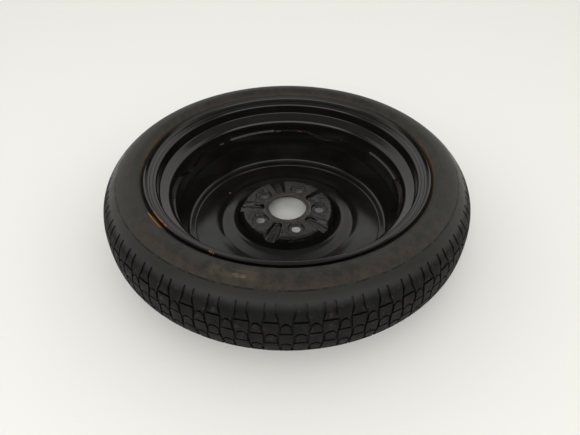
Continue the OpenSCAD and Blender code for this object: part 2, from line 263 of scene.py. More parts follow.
class Finish(Mixer):
    """A material that is being mixed, with places and sizes on the part in millimetres."""

    def __init__(self, name, metallic=0.0):
        self.material = bpy.data.materials.new(name)
        self.material.use_nodes = True
        super().__init__(self.material.node_tree)
        self.shader = self.nodes["Principled BSDF"]
        self.shader.inputs["Metallic"].default_value = metallic
        spot = self.nodes.new("ShaderNodeTexCoord")
        self.here = spot.outputs["Object"]
        self.x, self.y, self.z = (self.times(c, 1 / MM) for c in self.split(self.here))
        self.upward = self.split(spot.outputs["Normal"])[2]
        self.radius = self.sum("SQRT", self.plus(self.times(self.x, self.x), self.times(self.y, self.y)))

    def noise(self, size, detail=3.0, rough=0.55, where=None):
        """A noise from 0 to 1 whose patches are about size millimetres wide."""
        node = self.nodes.new("ShaderNodeTexNoise")
        self.feed(node.inputs["Vector"], where or self.here)
        node.inputs["Scale"].default_value = 1 / (size * MM)
        node.inputs["Detail"].default_value = detail
        node.inputs["Roughness"].default_value = rough
        return node.outputs["Fac"]

    def turned_lines(self, size):
        """A noise drawn out along the turning direction, like the fine lines that rolling leaves."""
        node = self.nodes.new("ShaderNodeCombineXYZ")
        self.feed(node.inputs[0], self.times(self.radius, MM))
        self.feed(node.inputs[2], self.times(self.z, MM))
        return self.noise(size, 2.0, 0.5, node.outputs[0])

    def arc(self, middle, half, radii, heights, soft=1.0):
        """1 on part of a ring: middle and half are degrees round the axis, the rest is millimetres."""
        m = math.radians(middle)
        along = self.plus(self.times(self.x, math.cos(m)), self.times(self.y, math.sin(m)))
        far = math.cos(math.radians(min(half * 1.4 + 0.3, 179)))
        near = math.cos(math.radians(half * 0.8))
        (inner, outer), (low, high) = radii, heights
        return self.times(self.slope(self.sum("DIVIDE", along, self.radius), far, near),
                          self.within(self.radius, inner - soft, inner, outer, outer + soft),
                          self.within(self.z, low - soft, low, high, high + soft))

    def spot(self, place, reach):
        """1 in the middle of a round spot and 0 from reach millimetres on."""
        node = self.nodes.new("ShaderNodeVectorMath")
        node.operation = "DISTANCE"
        self.feed(node.inputs[0], self.here)
        node.inputs[1].default_value = [c * MM for c in place]
        return self.slope(node.outputs["Value"], reach * MM, reach * MM * 0.3)

    def ragged(self, mask, noise, bite=0.8):
        """Breaks the soft edge of a mask up with a noise."""
        rough = self.plus(mask, self.times(self.sum("SUBTRACT", noise, 0.5), bite * 2))
        return self.times(self.slope(rough, 0.42, 0.6), self.slope(mask, 0.02, 0.2))

    def relief(self, height, depth, strength):
        """Makes the surface look raised by up to depth millimetres where height is 1."""
        node = self.nodes.new("ShaderNodeBump")
        node.inputs["Strength"].default_value = strength
        node.inputs["Distance"].default_value = depth * MM
        self.feed(node.inputs["Height"], height)
        self.feed(self.shader.inputs["Normal"], node.outputs["Normal"])

    def done(self, colour, roughness, gloss=None):
        self.feed(self.shader.inputs["Base Color"], colour)
        self.feed(self.shader.inputs["Roughness"], roughness)
        if gloss is not None:
            self.shader.inputs["Specular IOR Level"].default_value = gloss
        return self.material


print("finish tools:", [n for n in vars(Finish) if not n.startswith("_")])

# %% Rust
RUST_DARK, RUST_LIGHT = (0.075, 0.026, 0.012), (0.23, 0.095, 0.040)
# Degrees round the axis: the patch that lip and tyre share, and a thin line as its middle and half its length
RUSTY_A, THIN_LINE = -141.8, (-6.6, 18.4)


def rust_colour(finish, noise):
    return finish.mix(finish.slope(noise, 0.35, 0.65), RUST_DARK, RUST_LIGHT)


print("rust from", RUST_DARK, "to", RUST_LIGHT)

# %% [markdown]
# The steel is dipped in black paint that flows to a gloss. Upward faces hold a thin film of brownish dust,
# which thins towards the front of the bowl's floor as painted shade of the front rim. The ring round the
# centre bore is rubbed to a reddish brown, and the paint is through at the edges: in places along the
# skirt's cut edge, at two places and in three thin lines of the inboard lip and in a few specks.

# %% Black paint of the rim and the disc


def black_paint():
    paint = Finish("black_paint")
    cloud, fine, grain = paint.noise(38, 4), paint.noise(5, 4), paint.noise(1.1, 3)
    colour = paint.mix(cloud, (0.0030, 0.0029, 0.0028), (0.0062, 0.0057, 0.0051))

    # Dust on faces that look up, thickest on the hub face and then on the bowl's floor, with painted shade on
    # the floor's front
    blotches = paint.slope(cloud, 0.3, 0.7)
    film = paint.times(paint.slope(paint.upward, 0.45, 0.95), paint.between(blotches, 0.25, 0.75),
                       paint.between(fine, 0.6, 1.2))
    # On the bowl's floor the dust falls to a quarter towards the front: painted shade, where the front rim
    # shades the floor
    low = paint.times(paint.slope(paint.z, 60, 20), paint.between(paint.slope(paint.y, -75, -15), 0.25, 1.0))
    pad = paint.times(paint.slope(paint.radius, 92, 84), paint.slope(paint.z, 18, 24))
    dust_and_front_shade = paint.times(film, paint.most(paint.times(low, 0.16), paint.times(pad, 0.42), 0.08))
    colour = paint.mix(dust_and_front_shade, colour, (0.050, 0.047, 0.040))

    # The rubbed ring round the centre bore
    ring = paint.arc(0, 180, (BORE_R - 2, BORE_R + 8), (HUB_Z - 1, HUB_Z + 2), 2)
    rubbed = paint.times(ring, paint.slope(fine, 0.2, 0.55))
    colour = paint.mix(paint.times(rubbed, 0.5), colour, (0.070, 0.046, 0.034))

    # Rust along the skirt's edge: three bare places, a fainter one at the dip, and clouds
    edge = paint.times(paint.slope(paint.upward, 0.3, 0.7),
                       paint.within(paint.radius, 192.4, 192.9, 197.6, 198.2),
                       paint.within(paint.z, 54, 57, 74, 78))
    skirt = ((190, 198), (55, 78))
    bare = paint.most(*(paint.arc(a, 1.2, *skirt) for a in (131.7, 96, 82.6)))
    dip = paint.times(paint.arc(DIP_A, 13, *skirt), 0.35)
    clouds = paint.times(paint.slope(cloud, 0.58, 0.68), 0.3)
    worn = [paint.times(edge, paint.most(paint.times(bare, 0.6), dip, clouds))]

    # Rust on the inboard lip, then the specks
    lip, lip_line = ((231.6, 236), (125.5, 132)), ((234.6, 236), (125.5, 129.0))
    for a, half, share in ((RUSTY_A, 4.4, 0.8), (-115.5, 0.9, 0.6)):
        worn.append(paint.times(paint.arc(a, half, *lip), share))
    for a, half in (THIN_LINE, (58, 3), (121, 1.6)):
        worn.append(paint.times(paint.arc(a, half, *lip_line, 0.3), 0.5))
    for place, reach in (((-113, 73.2, 5.3), 3.2), ((60, -150, 5), 1.8), ((-140, -60, 5), 1.6)):
        worn.append(paint.spot(place, reach))
    rust = paint.ragged(paint.most(*worn), paint.noise(2.6, 4, 0.6))
    colour = paint.mix(rust, colour, rust_colour(paint, fine))

    dull = paint.plus(paint.between(blotches, 0.08, 0.14), paint.times(paint.turned_lines(0.9), 0.05),
                      paint.times(dust_and_front_shade, 0.45), paint.times(rust, 0.5))
    outer_pad = paint.times(pad, paint.slope(paint.radius, BORE_R + 6, BORE_R + 10))
    hammered = paint.times(outer_pad, paint.noise(9.0, 3, 0.55), 34.0)
    swell = paint.plus(paint.noise(3.2, 2), paint.times(grain, 0.25), paint.times(rust, 1.2), hammered)
    paint.relief(swell, 0.06, 0.7)
    return paint.done(colour, dull)


def weld_paint():
    weld = Finish("weld_paint")
    cloud, fine = weld.noise(9, 4), weld.noise(2.2, 4)
    colour = weld.mix(cloud, (0.020, 0.019, 0.018), (0.075, 0.068, 0.058))
    rust = weld.slope(weld.noise(6, 5, 0.6), 0.62, 0.74)
    colour = weld.mix(weld.times(rust, 0.8), colour, rust_colour(weld, fine))
    weld.relief(fine, 0.25, 0.8)
    return weld.done(colour, weld.between(weld.most(rust, cloud), 0.22, 0.62))


steel_finish, weld_finish = black_paint(), weld_paint()
print("paint:", len(steel_finish.node_tree.nodes), "nodes; weld:", len(weld_finish.node_tree.nodes), "nodes")

# %% [markdown]
# New tyre rubber is black, but this one has stood for years. Inside the fine moulded line the side wall is
# mottled brown by wax and dust, outside it the shoulder is cleaner and shines a little, and the tread is dull
# and dark with brown dirt on its blocks. Beside the rim runs a thin brown line, a patch of rust has spread
# from the lip, and a pale stain lies on the wall at the front.

# %% Tyre rubber


def tyre_rubber():
    rubber = Finish("tyre_rubber")
    cloud, patch, fine = rubber.noise(55, 3), rubber.noise(13, 4, 0.6), rubber.noise(2.4, 4, 0.6)
    wall = rubber.times(rubber.slope(rubber.radius, 279.5, 276.5), rubber.slope(rubber.z, 2, 100))
    shoulder = rubber.within(rubber.radius, 277, 281, 287, 297)
    tread = rubber.slope(rubber.radius, 288, 297)
    colour = rubber.mix(cloud, (0.0180, 0.0181, 0.0165), (0.0240, 0.0234, 0.0212))
    colour = rubber.mix(tread, colour, (0.0022, 0.0022, 0.0019))

    mottled = rubber.times(wall, rubber.slope(rubber.plus(patch, rubber.times(fine, 0.35)), 0.5, 0.85))
    dirt = rubber.times(tread, rubber.slope(rubber.noise(9, 4, 0.65), 0.55, 0.72))
    band = rubber.times(rubber.within(rubber.radius, 262, 266, 275.5, 277.5),
                        rubber.slope(rubber.y, -90, -190), rubber.slope(fine, 0.35, 0.7))
    stain = rubber.times(rubber.arc(-105, 6.5, (257, 267), (120, 140), 4), rubber.slope(patch, 0.35, 0.6))
    cream = rubber.times(rubber.arc(-103, 1.5, (263, 266), (120, 140), 1.5), rubber.slope(fine, 0.3, 0.6))
    rusty = rubber.ragged(rubber.arc(RUSTY_A, 4.2, (236, 242.5), (122, 134)), fine, 0.6)
    bead_line = rubber.times(rubber.within(rubber.radius, 238.4, 239.2, 240.6, 241.6),
                             rubber.slope(rubber.z, 120, 126), rubber.slope(fine, 0.3, 0.6))
    strong = rubber.most(*(rubber.arc(*place, (236, 243), (120, 138)) for place in ((173.2, 9.4), THIN_LINE)))
    moulded_line = rubber.times(rubber.within(rubber.radius, 276.0, 276.5, 278.1, 278.6),
                                rubber.slope(rubber.z, 60, 100), rubber.slope(patch, 0.40, 0.55))
    layers = (
        (mottled, 0.8, (0.041, 0.035, 0.029)),
        (dirt, 0.7, (0.034, 0.024, 0.018)),
        (band, 0.5, (0.050, 0.032, 0.021)),
        (stain, 0.45, (0.072, 0.058, 0.038)),
        (cream, 0.65, (0.135, 0.11, 0.07)),
        (rusty, 1.0, (0.27, 0.125, 0.042)),
        (bead_line, rubber.between(strong, 0.25, 0.75), (0.105, 0.052, 0.026)),
        (moulded_line, 0.8, (0.004, 0.004, 0.0038)),
    )
    for mask, share, tint in layers:
        colour = rubber.mix(rubber.times(mask, share), colour, tint)

    dull = rubber.plus(rubber.between(rubber.slope(patch, 0.3, 0.7), 0.46, 0.60),
                       rubber.times(shoulder, -0.16), rubber.times(tread, 0.16))
    rubber.relief(rubber.plus(rubber.times(fine, 0.5), rubber.noise(0.9, 2)), 0.10, 0.5)
    return rubber.done(colour, dull, 0.19)


tyre_finish = tyre_rubber()
print("tyre rubber:", len(tyre_finish.node_tree.nodes), "nodes")

# %% [markdown]
# The valve hangs under the rim, where only a look from below finds it. Its solids from the part are exact
# already, so they stay and only get finishes: brass in clouded shades, black rubber, moulded plastic, wire
# and a white seal.

# %% Finishes of the valve


def plain_mix(name, dark, light, roughness, metallic=0.0, size=3.0, grain=0.03):
    finish = Finish(name, metallic)
    cloud, fine = finish.noise(size, 4, 0.6), finish.noise(size / 6, 3)
    finish.relief(fine, grain, 0.4)
    colour = finish.mix(finish.slope(cloud, 0.3, 0.7), dark, light)
    return finish.done(colour, finish.between(fine, *roughness))


# Dark and light colour, least and most roughness, then metallic, size of the clouds and height of the grain
recipes = {
    "valve_rubber": ((0.012, 0.012, 0.012), (0.026, 0.025, 0.023), (0.42, 0.62)),
    "brass": ((0.42, 0.29, 0.11), (0.66, 0.50, 0.22), (0.22, 0.40), 1.0, 2.0, 0.01),
    "spring_steel": ((0.45, 0.45, 0.44), (0.62, 0.62, 0.60), (0.18, 0.32), 1.0, 1.0, 0.005),
    "white_seal": ((0.68, 0.68, 0.65), (0.80, 0.80, 0.77), (0.40, 0.52), 0.0, 1.0, 0.005),
    "cap_plastic": ((0.010, 0.010, 0.010), (0.020, 0.020, 0.019), (0.34, 0.50), 0.0, 2.0, 0.02),
}
wearers = {
    "valve_rubber": ("valve_body", "core_seal", "cap_seal"),
    "brass": ("valve_stem", "core_plug", "core_barrel", "core_pin", "core_cup"),
    "spring_steel": ("core_spring",),
    "white_seal": ("core_gasket",),
    "cap_plastic": ("valve_cap",),
}
for name, recipe in recipes.items():
    finish = plain_mix(name, *recipe)
    for node in wearers[name]:
        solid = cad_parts[node]
        solid.data.materials.clear()
        solid.data.materials.append(finish)
print("valve:", wearers)

# %% [markdown]
# ## A section and a spin
#
# The rim and the disc are sheet steel: a middle line with a thickness, bent with rounded corners. The helper
# below turns a short list of corners, each with its bend radius, into the fine outline of the sheet, in
# millimetres. The outline is then drawn in edit mode from one point by repeated extrudes, closed, and spun
# round the axis. Spinning a drawn section is the best way to a round sheet, because every bend stays
# adjustable.

# %% Outline of a bent sheet


def corner(a, b, c, radius, shift, step):
    """Points of the rounded corner b between a and c, moved left of the way by shift."""
    a, b, c = (np.array(p, float) for p in (a, b, c))
    u, v = (b - a) / np.linalg.norm(b - a), (c - b) / np.linalg.norm(c - b)
    cross = u[0] * v[1] - u[1] * v[0]
    side = 1 if cross > 0 else -1
    turn = math.acos(max(-1.0, min(1.0, float(u @ v))))
    left = np.array([-u[1], u[0]])
    middle = b - u * radius * math.tan(turn / 2) + side * radius * left
    count = max(1, math.ceil(math.degrees(turn) / step))
    points = []
    for i in range(count + 1):
        t = side * turn * i / count
        cos_t, sin_t = math.cos(t), math.sin(t)
        spoke = np.array([left[0] * cos_t - left[1] * sin_t, left[0] * sin_t + left[1] * cos_t])
        points.append(middle - side * (radius - side * shift) * spoke)
    return points


def one_side(path, shift, step=6):
    """The line through the corners, moved left of the way by shift; its two ends have no bend."""
    line = [p[:2] for p in path]
    first, last = (np.array(line[1]) - line[0], np.array(line[-1]) - line[-2])
    start, end = (np.array([-d[1], d[0]]) / np.linalg.norm(d) * shift for d in (first, last))
    points = [np.array(line[0], float) + start]
    for i in range(1, len(line) - 1):
        points += corner(line[i - 1], line[i], line[i + 1], path[i][2], shift, step)
    return points + [np.array(line[-1], float) + end]


def with_steps(points, fine, coarse):
    """The same line with more points: no stretch is longer than fine on the hub, or coarse outside it."""
    out = [points[0]]
    for p, q in zip(points, points[1:]):
        gap = fine if (p[0] + q[0]) / 2 < HUB_FINE_R else coarse
        n = max(1, math.ceil(np.linalg.norm(q - p) / gap))
        out += [p + (q - p) * i / n for i in range(1, n + 1)]
    return out


print("a right angle bend takes", len(corner((0, 0), (10, 0), (10, 10), 4, 0, 6)), "points")

# %% Draw and spin


def drawn(name, outline):
    """Draws a closed outline of [radius, height] in the XZ plane, by extruding from one point on."""
    clear_selection()
    bpy.ops.mesh.primitive_plane_add(size=MM, location=(0, 0, 0))
    piece = bpy.context.object
    piece.name = piece.data.name = name
    bpy.ops.object.mode_set(mode="EDIT")
    bpy.ops.mesh.merge(type="CENTER")
    bpy.ops.transform.translate(value=(outline[0][0] * MM, 0, outline[0][1] * MM))
    for p, q in zip(outline, outline[1:]):
        move = ((q[0] - p[0]) * MM, 0, (q[1] - p[1]) * MM)
        bpy.ops.mesh.extrude_region_move(TRANSFORM_OT_translate={"value": move})
    mesh = bmesh.from_edit_mesh(piece.data)
    for v in mesh.verts:
        v.select = len(v.link_edges) == 1
    mesh.select_flush_mode()
    bmesh.update_edit_mesh(piece.data)
    bpy.ops.mesh.edge_face_add()
    return piece


def spun(piece, steps, angle=math.tau, way=1):
    """Spins the outline round the axis, clockwise from above, or the other way where way is -1."""
    bpy.ops.mesh.select_all(action="SELECT")
    bpy.ops.mesh.spin(steps=steps, angle=angle, center=(0, 0, 0), axis=(0, 0, way))
    bpy.ops.mesh.select_all(action="SELECT")
    bpy.ops.mesh.remove_doubles(threshold=2e-6)
    bpy.ops.mesh.normals_make_consistent(inside=False)
    bpy.ops.object.mode_set(mode="OBJECT")


def take(piece):
    """Makes the piece the only one that is selected."""
    clear_selection()
    bpy.context.view_layer.objects.active = piece
    piece.select_set(True)


def smooth(piece, degrees):
    take(piece)
    bpy.ops.object.shade_smooth_by_angle(angle=math.radians(degrees))
    piece.select_set(False)


def apply_tool(piece, name):
    take(piece)
    bpy.ops.object.modifier_apply(modifier=name)
    piece.select_set(False)


def places(piece):
    """The piece's points as an array in millimetres."""
    flat = np.empty(len(piece.data.vertices) * 3, np.float64)
    piece.data.vertices.foreach_get("co", flat)
    return flat.reshape(-1, 3) / MM


def put(piece, points):
    piece.data.vertices.foreach_set("co", (points * MM).ravel())
    piece.data.update()


print("drawing tools:", [tool.__name__ for tool in (drawn, spun, take, smooth, apply_tool, places, put)])

# %% [markdown]
# ## Rim
#
# The rim is rolled from a strip: a curled lip, the flange, the bead seat, a ramp down into the well, and the
# same again on the other side. The well is what shows most from above. 288 steps round keep its reflections
# smooth, because glossy black paint shows every flat.

# %% Spin the rim
RAMP = math.tan(math.radians(25))


def half_rim(seat, side, seat_bend):
    """Corners from the lip to the end of the bead seat; side is 1 for the inboard half, else -1."""
    top = side * (RIM_W + RIM_T) / 2
    return [
        (FLANGE_R - RIM_T / 2, side * (RIM_W / 2 + RIM_T / 2 + LIP_H), 0),
        (FLANGE_R - RIM_T / 2 - 3.5, top, 7.0),
        (SEAT_R - RIM_T / 2, top, 5.8),
        (SEAT_R - RIM_T / 2 - seat * SEAT_TAPER, side * ((RIM_W + RIM_T) / 2 - seat), seat_bend),
    ]


inboard, outboard = half_rim(SEAT_IN, 1, 5.0), half_rim(SEAT_OUT, -1, 3.4)
well_mid = WELL_R - RIM_T / 2
well_top = inboard[3][1] - (inboard[3][0] - well_mid) * RAMP
well_low = outboard[3][1] + (outboard[3][0] - well_mid) * RAMP
rim_line = inboard + [(well_mid, well_top, 11.0), (well_mid, well_low, 4.0)] + outboard[::-1]
rim_outline = one_side(rim_line, RIM_T / 2) + one_side(rim_line, -RIM_T / 2)[::-1]
rim = drawn("rim", [p + (0, MID) for p in rim_outline])
spun(rim, 288)
smooth(rim, 40)
print("rim:", len(rim.data.polygons), "faces")
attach(rim, "wheel")
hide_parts("wheel_rim")
rim.data.materials.append(steel_finish)

# %% [markdown]
# ## Disc
#
# The disc is one sheet pressed into a bowl: a straight skirt, a small step, a floor ring, a raised ring and a
# steep wall up to the hub face. Its hub face is a relief of dishes round the stud holes and channels between
# them. Modelling these by cutting would leave a sheet of uneven thickness, so they are pressed as the real
# press does it: a weight on each point says how far it sinks, and a Displace modifier pushes both faces of
# the sheet down together.

# %% Spin the disc's bowl
SKIRT_TOP, SKIRT_GAP, FLOOR_GAP = 2.0, 0.05, 1.65
skirt_r = WELL_R - RIM_T - SKIRT_GAP - DISC_T / 2
hub_mid = HUB_Z - MID - DISC_T / 2
floor_mid = -MID + FLOOR_GAP + DISC_T / 2
trough = skirt_r - PAD_R
disc_line = [
    (skirt_r, SKIRT_TOP, 0),
    (skirt_r, SKIRT_TOP - 0.22 * trough, 0.105 * trough),
    (skirt_r - 0.128 * trough, floor_mid + 0.54 * DISC_T, 0.07 * trough),
    (skirt_r - 0.228 * trough, floor_mid + 0.54 * DISC_T, 0.0146 * trough),
    (skirt_r - 0.238 * trough, floor_mid, 0.0146 * trough),
    (PAD_R + 0.422 * trough, floor_mid, 0.23 * trough),
    (PAD_R + 0.36 * trough, floor_mid + 0.92 * DISC_T, 0.05 * trough),
    (PAD_R + 0.147 * trough, floor_mid + 0.97 * DISC_T, 0.125 * trough),
    (PAD_R + 0.0235 * trough, hub_mid, 0.035 * trough),
    (BORE_R, hub_mid, 0),
]

# The path runs from the skirt inwards, so its left side is the underside
upper = with_steps(one_side(disc_line, -DISC_T / 2, 9), 1.05, 6.0)
lower = with_steps(one_side(disc_line, DISC_T / 2, 15), 1.7, 7.0)
disc = drawn("disc", [p + (0, MID) for p in upper + lower[::-1]])
spun(disc, 400)
print("disc:", len(upper), "rings on top,", len(disc.data.polygons), "faces")

# %% Press the hub face
CHANNEL_NOSE_X, CHANNEL_DEEP, CHANNEL_FLAT, CHANNEL_HALF = BORE_R + 17, 6.5, 5.2, 9.8
DISH_DEEP, DISH_R, DISH_FLANK = 3.6, 15.6, 3.4
RELIEF_R = PAD_R + 24
points = places(disc)
radius = np.hypot(points[:, 0], points[:, 1])
turn = np.degrees(np.arctan2(points[:, 1], points[:, 0]))
height = points[:, 2]


def eased(x):
    x = np.clip(x, 0, 1)
    return x * x * (3 - 2 * x)


def under_face(radius, height):
    """1 for a point on the underside of the hub's sheet and 0 for one on top."""
    top_face = np.array([p + (0, MID) for p in upper])
    order = np.argsort(top_face[:, 0])
    over = np.interp(radius, top_face[order, 0], top_face[order, 1])
    wall = (radius > PAD_R) & (radius < PAD_R + 20)
    low_face = np.array([p + (0, MID) for p in lower])
    low_face = low_face[np.argsort(low_face[:, 1])]
    inner = low_face[low_face[:, 0] < PAD_R + 22]
    reach = np.interp(height, inner[:, 1], inner[:, 0])
    return np.where(wall, radius < reach + 0.3 * DISC_T, height < over - DISC_T / 2)


def channel_floor(x, y):
    """How deep the pressed channel is at a place in the channel's own plan, and 0 outside it."""
    outward = np.maximum(x - CHANNEL_NOSE_X, 0)
    depth = CHANNEL_DEEP + outward * math.tan(math.radians(5))
    half = CHANNEL_HALF + outward * 0.24
    away = np.where(x > CHANNEL_NOSE_X, np.abs(y), np.hypot(x - CHANNEL_NOSE_X, y))
    return depth * eased(1 - (away - CHANNEL_FLAT) / (half - CHANNEL_FLAT))


under = under_face(radius, height)
sunk = np.zeros(len(points))
for i in range(5):
    a = math.radians(STUD_A + 36 + 72 * i)
    x = points[:, 0] * math.cos(a) + points[:, 1] * math.sin(a)
    y = -points[:, 0] * math.sin(a) + points[:, 1] * math.cos(a)
    floor_depth = np.where((x > 20) & (x < RELIEF_R), channel_floor(x, y), 0)
    level = HUB_Z - floor_depth - np.where(under, DISC_T, 0)
    sunk = np.maximum(sunk, np.where(floor_depth > 0.01, np.maximum(height - level, 0), 0))
    b = math.radians(STUD_A + 72 * i)
    away = np.hypot(points[:, 0] - STUD_CIRCLE_R * math.cos(b), points[:, 1] - STUD_CIRCLE_R * math.sin(b))
    sunk = np.maximum(sunk, DISH_DEEP * eased((DISH_R - away) / DISH_FLANK))
sunk = np.where(radius < RELIEF_R, sunk, 0)
print("the hub's relief is pressed", round(float(sunk.max()), 1), "mm deep at most")

# %% Press the dips into the skirt's edge
DIP_DEEP, DIP_HALF_A, DIP_FROM_Z = 12.0, 14, 46
dips = np.zeros(len(points))
for i in range(4):
    away = (turn - (DIP_A + 90 * i) + 180) % 360 - 180
    dips = np.maximum(dips, DIP_DEEP * (1 + np.cos(np.pi * np.clip(away / DIP_HALF_A, -1, 1))) / 2)
rise = (height - DIP_FROM_Z) / (MID + SKIRT_TOP - DIP_FROM_Z)
dips = np.where((radius > 188) & (height > DIP_FROM_Z), dips * rise, 0)


def press(piece, name, amount):
    """Sinks the piece's points by amount millimetres each, with a vertex group and a Displace modifier."""
    most = float(amount.max())
    group = piece.vertex_groups.new(name=name)
    for i in np.flatnonzero(amount > 0.005):
        group.add([int(i)], float(amount[i]) / most, "REPLACE")
    tool = piece.modifiers.new(name, "DISPLACE")
    tool.vertex_group, tool.direction, tool.mid_level, tool.strength = name, "Z", 0.0, -most * MM
    apply_tool(piece, name)


press(disc, "hub_press", sunk)
press(disc, "skirt_dips", dips)
print("pressed; lowest point", round(places(disc)[:, 2].min(), 2), "mm")

# %% [markdown]
# The stud holes are pierced after pressing, so they are cut with a Boolean modifier. Each cutter is a
# cylinder with a cone at its lower end: the cone is the seat for the nut on the outboard side. All five are
# joined first, so that one cut is enough.

# %% Pierce the stud holes
CUTTER_HALF, NUT_SEAT_AT, NUT_SEAT_DEEP = 12, 3.65, 6.0


def hole_cutter(name, angle):
    clear_selection()
    a = math.radians(angle)
    place = (STUD_CIRCLE_R * math.cos(a) * MM, STUD_CIRCLE_R * math.sin(a) * MM, HUB_Z * MM)
    size = {"radius": STUD_HOLE_R * MM, "depth": 2 * CUTTER_HALF * MM}
    bpy.ops.mesh.primitive_cylinder_add(vertices=64, location=place, **size)
    cutter = bpy.context.object
    cutter.name = name
    bpy.ops.object.mode_set(mode="EDIT")
    mesh = bmesh.from_edit_mesh(cutter.data)
    for face in mesh.faces:
        face.select = face.normal.z < -0.5
    mesh.select_flush_mode()
    bmesh.update_edit_mesh(cutter.data)
    # The lower end moves up to where the seat starts, and the cone is drawn down from there
    bpy.ops.transform.translate(value=(0, 0, (CUTTER_HALF - NUT_SEAT_AT) * MM))
    bpy.ops.mesh.extrude_region_move(TRANSFORM_OT_translate={"value": (0, 0, -NUT_SEAT_DEEP * MM)})
    wide = (STUD_HOLE_R + NUT_SEAT_DEEP * math.tan(math.radians(30))) / STUD_HOLE_R
    bpy.ops.transform.resize(value=(wide, wide, 1))
    bpy.ops.object.mode_set(mode="OBJECT")
    return cutter


def cut(piece, cutter):
    tool = piece.modifiers.new("cut", "BOOLEAN")
    tool.operation, tool.object, tool.solver = "DIFFERENCE", cutter, "EXACT"
    apply_tool(piece, "cut")
    bpy.data.objects.remove(cutter)


cutters = [hole_cutter(f"stud_cutter_{i + 1}", STUD_A + 72 * i) for i in range(5)]
clear_selection()
for cutter in cutters:
    cutter.select_set(True)
bpy.context.view_layer.objects.active = cutters[0]
bpy.ops.object.join()
cut(disc, cutters[0])
smooth(disc, 70)
print("disc with holes:", len(disc.data.polygons), "faces")
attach(disc, "wheel")
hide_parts("wheel_disc")
disc.data.materials.clear()
disc.data.materials.append(steel_finish)

# %% [markdown]
# ## Weld beads
#
# Four short welds join the skirt's edge to the well of the rim. A weld is laid drop by drop, so each bead is
# a round cord that is spun over 28 degrees and then pinched between its drops and at both ends.

# %% Lay the weld beads
WELD_TURN, WELD_DROPS, WELD_R = 28.0, 42, 2.5
WELD_AT_R, WELD_AT_Z = 195.0, MID + 3.0


def weld_bead(name, middle):
    clear_selection()
    start = math.radians(middle - WELD_TURN / 2)
    bpy.ops.mesh.primitive_circle_add(vertices=14, radius=WELD_R * MM, rotation=(math.pi / 2, 0, 0))
    bead = bpy.context.object
    bead.name = bead.data.name = name
    bpy.ops.object.transform_apply(location=False, rotation=True, scale=True)
    bpy.ops.object.mode_set(mode="EDIT")
    bpy.ops.transform.translate(value=(WELD_AT_R * MM, 0, WELD_AT_Z * MM))
    bpy.ops.transform.rotate(value=-start, orient_axis="Z", center_override=(0, 0, 0))
    turn = math.radians(WELD_TURN)
    bpy.ops.mesh.spin(steps=WELD_DROPS * 4, angle=turn, center=(0, 0, 0), axis=(0, 0, -1))
    bpy.ops.mesh.select_all(action="SELECT")
    bpy.ops.mesh.fill_holes(sides=0)
    bpy.ops.mesh.select_all(action="SELECT")
    bpy.ops.mesh.normals_make_consistent(inside=False)
    bpy.ops.object.mode_set(mode="OBJECT")
    at = places(bead)
    turned = (np.degrees(np.arctan2(at[:, 1], at[:, 0])) - middle + 180) % 360 - 180
    drop = 0.5 + 0.5 * np.cos(2 * np.pi * (turned / WELD_TURN + 0.5) * WELD_DROPS)
    wander = 0.05 * np.sin(turned * 1.9 + middle) + 0.03 * np.sin(turned * 4.3 + 2 * middle)
    ends = np.sqrt(np.clip((WELD_TURN / 2 - np.abs(turned)) / 0.9, 0.12, 1))
    girth = (0.93 + wander + 0.11 * drop) * ends
    out = np.hypot(at[:, 0], at[:, 1])
    new_out = WELD_AT_R + (out - WELD_AT_R) * girth
    at[:, :2] *= (new_out / out)[:, None]
    at[:, 2] = WELD_AT_Z + (at[:, 2] - WELD_AT_Z) * girth
    put(bead, at)
    smooth(bead, 60)
    return bead


beads = [weld_bead(f"bead_{i + 1}", DIP_A - 45 + 90 * i) for i in range(4)]
for i, bead in enumerate(beads):
    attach(bead, "wheel")
    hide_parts(f"weld_bead_{i + 1}")
    bead.data.materials.append(weld_finish)
print("beads:", [b.name for b in beads], len(beads[0].data.polygons), "faces each")

# %% [markdown]
# ## Tyre
#
# The tread repeats fifty times round the tyre, so one pitch is modelled and the rest are copies. The section
# of the whole tyre is drawn once, with a row of points at every edge of a groove, and spun over one pitch in
# eleven steps. Then the columns slide sideways until they lie along the slots, and the rows bend where a
# groove bows. This keeps the whole tread a clean net of quads that can be pressed in afterwards.

# %% Section of the tyre
PITCHES = 50
# The crown is flat in the middle and falls off by these two powers towards the tread's edge
CROWN_HALF, CROWN_SHARE, CROWN_FLAT, CROWN_FALL = 1.019 * MID, 0.9, 2.84, 1 / 1.05
WALL_H, WALL_OUT, BEAD_W = TREAD_R - FLANGE_R, MID - RIM_W / 2, 12.5
TOE_R = SEAT_R - BEAD_W * SEAT_TAPER + 0.05
TREAD_T, SIDE_T = 9.5, 6.0
CAVITY_HALF = CROWN_HALF - SIDE_T
RAISED_LINE_R, FINE_GROOVE_R = 277.2, 250.0
GROOVES_AT, GROOVE_W, GROOVE_DEEP, SLOT_HALF, SLOT_END = (9.6, 28.8), 3.0, 3.0, 1.9, 50.0


def crown(height, half=CROWN_HALF, base=SIDE_R, top=TREAD_R):
    return base + (top - base) * (1 - (abs(height) / half) ** CROWN_FLAT) ** CROWN_FALL


def inner_crown(height):
    return crown(height, CAVITY_HALF, SIDE_R - 2, TREAD_R - TREAD_T)


